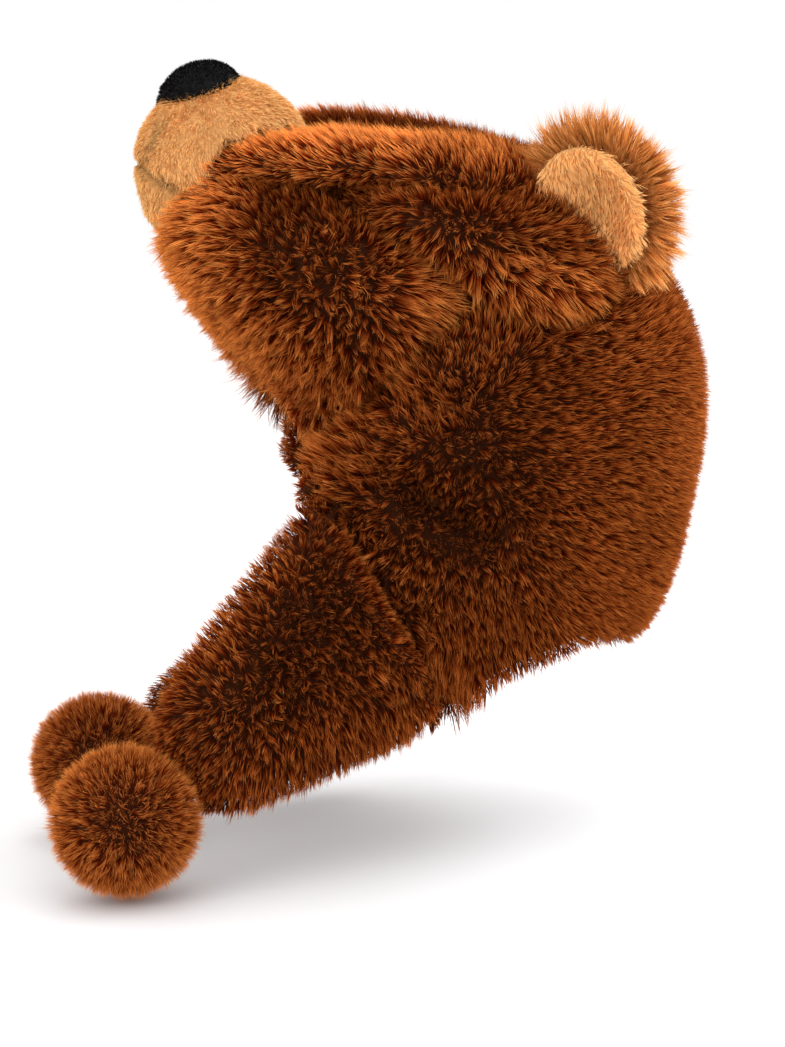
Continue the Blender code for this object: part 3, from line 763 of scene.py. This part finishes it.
def ear_axes(side):
    """An ear's middle and its across, outward and facing axes."""
    front = EAR_ACROSS.cross(EAR_OUTWARD).normalized()
    across = EAR_ACROSS.normalized()
    centre = EAR_CENTRE + (RIGHT_EAR_SAG if side < 0 else Vector())
    mirror = Vector((side, 1, 1))
    return [np.array(v * mirror) for v in (centre, across, front.cross(across), front)]


def line_distance(spots, start, end):
    """Distance of flat spots from a line between two points, how far along, and to its left if positive."""
    line = end - start
    share = np.clip(((spots - start) @ line) / (line @ line), 0, 1)
    aside = spots - start
    left = line[0] * aside[:, 1] - line[1] * aside[:, 0] if len(line) == 2 else np.zeros(len(spots))
    away = np.linalg.norm(spots - start - share[:, None] * line, axis=1)
    return away, share, away * np.sign(left)


def press_creases(mesh):
    """Sink the hood's creases into its form and raise the rolls beside them, and return how near each
    point is to a crease."""
    points = numbers(mesh.vertices, "co", 3)
    normals = numbers(mesh.vertices, "normal", 3)
    spots = points[:, 1:] / MM
    sunk = np.zeros(len(points))
    raised = np.zeros(len(points))
    near = np.zeros(len(points))
    for first, second in zip(HOOD_CREASES, HOOD_CREASES[1:]):
        if first[0] != second[0]:
            continue
        away, share, left = line_distance(spots, np.array(first[1:3]), np.array(second[1:3]))
        depth, width, roll = (first[k] + (second[k] - first[k]) * share for k in (3, 4, 5))
        fall = np.exp(-(away / width) ** 2)
        sunk = np.maximum(sunk, depth * fall)
        raised = np.maximum(raised, roll * np.exp(-((left - ROLL_AWAY) / ROLL_WIDTH) ** 2))
        near = np.maximum(near, np.minimum(1, fall * depth / DARKEST_DEPTH))
    sideways = np.clip(np.abs(points[:, 0]) / SIDES_FROM, 0, 1)
    outer = np.clip(normals[:, 0] * np.sign(points[:, 0]) * SIDE_GAIN, 0, 1) * sideways
    upward = np.clip(normals[:, 2] * SLOPE_GAIN, 0, 1)
    fade_start, fade_end = BROW_VALLEY_FADE
    fade = np.clip((fade_end - points[:, 1]) / (fade_end - fade_start), 0, 1)
    valley = np.exp(-(points[:, 0] / BROW_VALLEY_WIDTH) ** 2) * upward * fade
    ridge = np.exp(-((np.abs(points[:, 0]) - BROW_RIDGE_ACROSS) / BROW_VALLEY_WIDTH) ** 2) * upward * fade
    ridge *= np.where(points[:, 0] > 0, BROW_RIDGES[0], BROW_RIDGES[1])
    lift = (ROLL_STRETCH * raised - CREASE_STRETCH * sunk) * outer * MM - BROW_VALLEY_DEPTH * valley + ridge
    away = np.linalg.norm((points - np.array(MUZZLE_CENTRE)) / np.array(MUZZLE_SIZES), axis=1)
    lift -= MUZZLE_SADDLE * np.clip((SADDLE_REACH - away) / SADDLE_FADE, 0, 1) * upward
    points += normals * lift[:, None]
    mesh.vertices.foreach_set("co", points.astype(np.float32).ravel())
    mesh.update()
    return near * outer


def fade_from(mesh, others):
    """How near each point of a form is to other forms, 1 against them and falling to 0."""
    surfaces = [surface_of(other) for other in others]
    away = [min(surface.find_nearest(v.co)[3] for surface in surfaces) for v in mesh.vertices]
    return np.exp(-np.array(away) / SEAM_BLEND)


def comb_fur(mesh, reach, near, seam):
    """Turn the fur the way the table says, keeping its height from the solids' locks."""
    points = numbers(mesh.vertices, "co", 3)
    normals = skin_normals(mesh)
    table = np.array(FUR_LIE, float)
    away = ((points[:, None, 1:] / MM - table[None, :, :2]) ** 2).sum(axis=2)
    weight = 1.0 / (away + ROW_BLEND) ** 2
    weight /= weight.sum(axis=1, keepdims=True)
    comb = table[:, 2:4] / np.maximum(np.linalg.norm(table[:, 2:4], axis=1, keepdims=True), 0.01)
    lean = weight @ (comb * table[:, 4:5])
    length, tone, parted = (weight @ table[:, k] for k in (5, 6, 7))
    outer = (np.abs(points[:, 0] + BROW_ASIDE) - BROW_INNER) / (BROW_OUTER - BROW_INNER)
    outer = np.clip(outer, 0, 1)
    behind = np.clip((points[:, 1] - BROW_FRONT) / BROW_FRONT_FADE, 0, 1)
    outer = 1 - (1 - outer) * np.clip(normals[:, 2] * SLOPE_GAIN, 0, 1) * behind
    lean += np.clip(-seam, 0, 1)[:, None] * FLAP_SEAM_LEAN * np.array(TOWARDS_HOOD)
    lean *= (BROW_MIDDLE_LEAN + (1 - BROW_MIDDLE_LEAN) * outer)[:, None]
    way = np.column_stack((np.zeros(len(points)), lean))
    way -= normals * dot(way, normals)
    height = np.linalg.norm(reach, axis=1, keepdims=True) * LOCK_HEIGHT
    height = height * (length - CREASE_CROPS * near)[:, None]
    valley = np.exp(-(points[:, 0] / BROW_VALLEY_WIDTH) ** 2) * np.clip(normals[:, 2], 0, 1)
    height = height * (1 - BROW_VALLEY_CROPS * valley)[:, None]
    height *= (1 + seam)[:, None]
    for side, (tuft_y, tuft_z, radius, growth) in ((-1, RIGHT_TUFTS), (1, LEFT_CUT)):
        spread = ((points[:, 1] / MM - tuft_y) ** 2 + (points[:, 2] / MM - tuft_z) ** 2) / radius ** 2
        share = np.exp(-spread) * (points[:, 0] * side > 0)
        height *= (1 + growth * share)[:, None]
        # Painted shade on the right cheek's tufts.
        tone = tone - RIGHT_TUFT_PAINTED_SHADE * share * (side < 0)
    fur = (normals + way) * height
    # Painted shade: the fur is darker in the creases and along the brow valley, and there the table's tone
    # is also taken out.
    tone = tone * outer - CREASE_PAINTED_SHADE * near ** CREASE_PAINTED_SHADE_POWER - BROW_VALLEY_PAINTED_SHADE * (1 - outer)
    return np.column_stack((fur, tone, parted))


brown_pile = pile_finish("brown_long_pile", BROWN_ROOT, BROWN_BODY, BROWN_TIP,
                         roughness=0.5, sheen=0.06, see_through=0.35, patch_scale=25.0)
ear_pile = pile_finish("brown_ear_pile", EAR_ROOT, EAR_BODY, EAR_TIP,
                       roughness=0.5, sheen=0.06, see_through=0.4, patch_scale=25.0)
tan_pile = pile_finish("tan_short_pile", TAN_ROOT, TAN_BODY, TAN_TIP,
                       roughness=0.6, sheen=0.2, see_through=0.2, patch_scale=40.0, dulling=DULL_TAN_TIP)
black_pile = pile_finish("black_short_pile", BLACK_ROOT, BLACK_ROOT, BLACK_TIP,
                         roughness=0.42, sheen=0.3, see_through=0, patch_scale=40.0)
# The backing under the long fur is its own brown, made dark so that it reads as painted shade between the
# strands.
brown_backing_and_painted_shade = cloth_finish("brown_backing_and_painted_shade", (0.03, 0.008, 0.002), (0.07, 0.018, 0.005), 0.9)
ear_backing = cloth_finish("brown_ear_backing", (0.30, 0.09, 0.018), (0.42, 0.14, 0.03), 0.9)
brown_lining = cloth_finish("brown_fleece_lining", (0.10, 0.035, 0.012), (0.18, 0.07, 0.025), 0.85)
tan_backing = cloth_finish("tan_backing", (0.60, 0.31, 0.11), (0.75, 0.42, 0.16), 0.9)
black_backing = cloth_finish("black_backing", (0.004, 0.004, 0.004), (0.01, 0.01, 0.011), 0.8)


def even_fur(mesh, pile, comb, tone=0.0, near=0.0):
    """Fur of one height, combed one way, shorter near a crease and darkened there with painted shade (along
    the mouth seam, partly the seam's own dark line).
    """
    points = numbers(mesh.vertices, "co", 3)
    normals = numbers(mesh.vertices, "normal", 3)
    way = comb(points)
    way -= normals * dot(way, normals)
    lean = unit(way) * np.minimum(1, np.linalg.norm(way, axis=1, keepdims=True))
    near = np.zeros(len(points)) + near
    pile = (pile * (1 - SEAM_CROPS * near))[:, None]
    return np.column_stack(((normals + lean) * pile, tone - SEAM_LINE_AND_PAINTED_SHADE * near, np.ones(len(points))))


def lock_fur(mesh, locks, tone):
    """Fur that follows the solids' locks."""
    reach = lie_of_fur(mesh, locks)
    normals = numbers(mesh.vertices, "normal", 3)
    up = normals * dot(reach, normals)
    return np.column_stack((up + (reach - up), np.full(len(up), tone), np.ones(len(up))))


def ear_fur(mesh, locks, centre, front):
    """Fur that stands out all round an ear, from its middle plane outwards."""
    points = numbers(mesh.vertices, "co", 3)
    normals = numbers(mesh.vertices, "normal", 3)
    size = np.linalg.norm(lie_of_fur(mesh, locks), axis=1, keepdims=True)
    size = np.where(size > 0, size, np.median(size[size > 0]))
    away = points - centre
    away = unit(away - dot(away, front[None, :]) * front)
    back = np.clip(-(normals @ front), 0, 1)[:, None]
    fur = (away * (EAR_FUR_OUT - EAR_FUR_LESS_BEHIND * back) + normals * EAR_FUR_OFF) * size
    return np.column_stack((fur, np.full(len(points), EAR_FUR_TONE), np.ones(len(points))))


def dish_lining(mesh, centre, across, outward, front):
    """Roll the rim of an ear's lining up, and return how near each point is to its hollow."""
    points = numbers(mesh.vertices, "co", 3) - centre
    x = points @ across / (EAR_SIZES.x * LINING_SHARE)
    y = points @ outward / (EAR_SIZES.y * LINING_SHARE)
    rim = np.exp(-((np.hypot(x, y) - RIM_RADIUS) / RIM_WIDTH) ** 2)
    flat, rising, sideways = RIM_SLOPE
    lift = LINING_RIM * rim * np.clip(flat + rising * y + sideways * x, 0, 1)
    away_x = (x - HOLLOW_ACROSS[0]) / HOLLOW_ACROSS[1]
    away_y = (y - HOLLOW_OUTWARD[0]) / HOLLOW_OUTWARD[1]
    hollow = np.exp(-away_x ** 2 - away_y ** 2)
    points += front * lift[:, None] + centre
    mesh.vertices.foreach_set("co", points.astype(np.float32).ravel())
    mesh.update()
    return hollow


def press_muzzle(mesh):
    """Sew the mouth into the muzzle, and return how near each point is to its seams."""
    points = numbers(mesh.vertices, "co", 3)
    normals = numbers(mesh.vertices, "normal", 3)
    spots = unit((points - np.array(MUZZLE_CENTRE)) / np.array(MUZZLE_SIZES))
    spots[:, 0] = np.abs(spots[:, 0])
    near = np.zeros(len(points))
    for row in MUZZLE_SEAMS:
        away = line_distance(spots, np.array(row[:3]), np.array(row[3:]))[0]
        near = np.maximum(near, np.exp(-(away / MUZZLE_SEAM_WIDTH) ** 2))
    points -= normals * (near * MUZZLE_SEAM_DEPTH)[:, None]
    mesh.vertices.foreach_set("co", points.astype(np.float32).ravel())
    mesh.update()
    return near


def cover(node, mesh, backing, lining=None, bare=None):
    """Show a node's smooth form in its place."""
    form = piece_object(node + "_form", mesh, [backing] + ([lining] if lining else []))
    if lining:
        inner = [int(all(bare[v] for v in p.vertices)) for p in mesh.polygons]
        mesh.polygons.foreach_set("material_index", inner)
    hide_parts(node)


forms = {}
locks = {}
skins = {}


def make_forms():
    """Find each node's smooth form, and its locks."""
    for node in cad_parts:
        forms[node], locks[node] = bare_form(node, LEVELS.get(node, 1))


def make_hood():
    hood = forms["hood"]
    flaps = [forms["left_flap"], forms["right_flap"]]
    reach = lie_of_fur(hood, locks["hood"])
    near = press_creases(hood)
    sew(hood, flaps, 0)
    for flap in flaps:
        sew(flap, [hood], FLAP_SKIN_ROUNDS)
    fur = comb_fur(hood, reach, near, HOOD_GROWN * fade_from(hood, flaps))
    bare = np.linalg.norm(reach, axis=1) == 0
    cover("hood", hood, brown_backing_and_painted_shade, brown_lining, bare)
    plant("hood", hood, fur, "long", brown_pile, SEEDS["hood"],
          [outside_egg(MUZZLE_CENTRE, MUZZLE_SIZES, HOOD_FUR_UNDER_MUZZLE)]
          + [clear_of(forms[ear], HOOD_CLEARS_EAR) for ear in ("left_ear", "right_ear")]
          + [clear_of(flap, HOOD_CLEARS_FLAP) for flap in flaps])


def make_flap(side, flap):
    reach = lie_of_fur(forms[flap], locks[flap])
    bare = np.linalg.norm(reach, axis=1) == 0
    cover(flap, forms[flap], brown_backing_and_painted_shade, brown_lining, bare)
    seam = -FLAP_CUT * fade_from(forms[flap], [forms["hood"]])
    fur = comb_fur(forms[flap], reach, np.zeros(len(reach)), seam)
    plant(flap, forms[flap], fur, "long", brown_pile, SEEDS["flap"] + side,
          [clear_of(forms["hood"], HOOD_CLEARS_FLAP)])


def make_pompom(side, pompom):
    cover(pompom, forms[pompom], brown_backing_and_painted_shade)
    fur = lock_fur(forms[pompom], locks[pompom], POMPOM_PAINTED_LIGHT)
    plant(pompom, forms[pompom], fur, "pompom", brown_pile, SEEDS["pompom"] + side)


def make_ear(side, ear, lining):
    centre, across, outward, front = ear_axes(side)
    cover(ear, forms[ear], ear_backing)
    fur = ear_fur(forms[ear], locks[ear], centre, front)
    plant(ear, forms[ear], fur, "ear", ear_pile, SEEDS["ear"] + side,
          [clear_of(forms[lining], EAR_CLEARS_LINING)])
    hollow = dish_lining(forms[lining], centre, across, outward, front)
    cover(lining, forms[lining], tan_backing)
    fur = even_fur(forms[lining], LINING_PILE,
                   lambda p: (p - centre) @ np.outer(outward, outward) * LINING_COMB + across,
                   LINING_PAINTED_LIGHT, LINING_HOLLOW_PAINTED_SHADE * hollow)
    plant(lining, forms[lining], fur, "short", tan_pile, SEEDS["lining"] + side,
          [facing(front, LINING_FACING)])


def make_muzzle():
    near = press_muzzle(forms["muzzle"])
    cover("muzzle", forms["muzzle"], tan_backing)
    fur = even_fur(forms["muzzle"], MUZZLE_PILE, lambda p: unit(p - np.array(NOSE_CENTRE)) * MUZZLE_COMB,
                   MUZZLE_TONE, near)
    plant("muzzle", forms["muzzle"], fur, "short", tan_pile, SEEDS["muzzle"],
          [clear_of(forms["hood"], MUZZLE_CLEARS_HOOD)])


def make_nose():
    cover("nose", forms["nose"], black_backing)
    fur = even_fur(forms["nose"], NOSE_PILE, lambda p: unit(p - np.array(NOSE_CENTRE)) * NOSE_COMB)
    plant("nose", forms["nose"], fur, "short", black_pile, SEEDS["nose"],
          [clear_of(forms["muzzle"], NOSE_CLEARS_MUZZLE)])


def make_floor():
    bm = bmesh.new()
    bmesh.ops.create_grid(bm, x_segments=8, y_segments=8, size=6.0)
    mesh = bpy.data.meshes.new("floor")
    bm.to_mesh(mesh)
    bm.free()
    floor = bpy.data.objects.new("floor", mesh)
    floor.location = (0.0, 0.0, FLOOR_HEIGHT)
    mesh.materials.append(floor_finish())
    bpy.context.scene.collection.objects.link(floor)


def make_lamps():
    for name, x, y, z, size, watts in LAMPS:
        light = bpy.data.lights.new(name, "AREA")
        light.shape = "DISK"
        light.size = size
        light.energy = watts
        lamp = bpy.data.objects.new(name, light)
        lamp.location = (x, y, z)
        lamp.rotation_mode = "QUATERNION"
        lamp.rotation_quaternion = (CAMERA_AIM - lamp.location).to_track_quat("-Z", "Y")
        bpy.context.scene.collection.objects.link(lamp)
    light = bpy.data.lights.new("top_light", "SUN")
    light.energy = TOP_LIGHT
    light.angle = TOP_LIGHT_SPREAD
    lamp = bpy.data.objects.new("top_light", light)
    lamp.rotation_euler = TOP_LIGHT_LEAN
    bpy.context.scene.collection.objects.link(lamp)
    world = bpy.data.worlds.new("studio")
    world.use_nodes = True
    tree = world.node_tree
    backdrop = tree.nodes["Background"]
    seen = tree.nodes.new("ShaderNodeLightPath")
    strength = tree.nodes.new("ShaderNodeMapRange")
    tree.links.new(seen.outputs["Is Camera Ray"], strength.inputs["Value"])
    strength.inputs["To Min"].default_value = SKY_LIGHT
    strength.inputs["To Max"].default_value = 1.0
    tree.links.new(strength.outputs[0], backdrop.inputs["Strength"])
    backdrop.inputs["Color"].default_value = (1.0, 1.0, 1.0, 1.0)
    bpy.context.scene.world = world
    bpy.context.scene.view_settings.view_transform = "Standard"


def make_camera():
    turn, rise = math.radians(CAMERA_TURN), math.radians(CAMERA_RISE)
    back = Vector((math.sin(turn) * math.cos(rise), -math.cos(turn) * math.cos(rise), math.sin(rise)))
    data = bpy.data.cameras.new("camera")
    data.lens = CAMERA_LENS
    data.sensor_width = 36.0
    camera = bpy.data.objects.new("camera", data)
    camera.location = CAMERA_AIM + back * CAMERA_AWAY
    camera.rotation_mode = "QUATERNION"
    camera.rotation_quaternion = (-back).to_track_quat("-Z", "Y")
    bpy.context.scene.collection.objects.link(camera)
    bpy.context.scene.camera = camera


make_forms()
make_hood()
for side, label in ((1, "left"), (-1, "right")):
    make_flap(side, label + "_flap")
    make_pompom(side, label + "_pompom")
    make_ear(side, label + "_ear", label + "_ear_lining")
make_muzzle()
make_nose()
make_floor()
make_lamps()
make_camera()
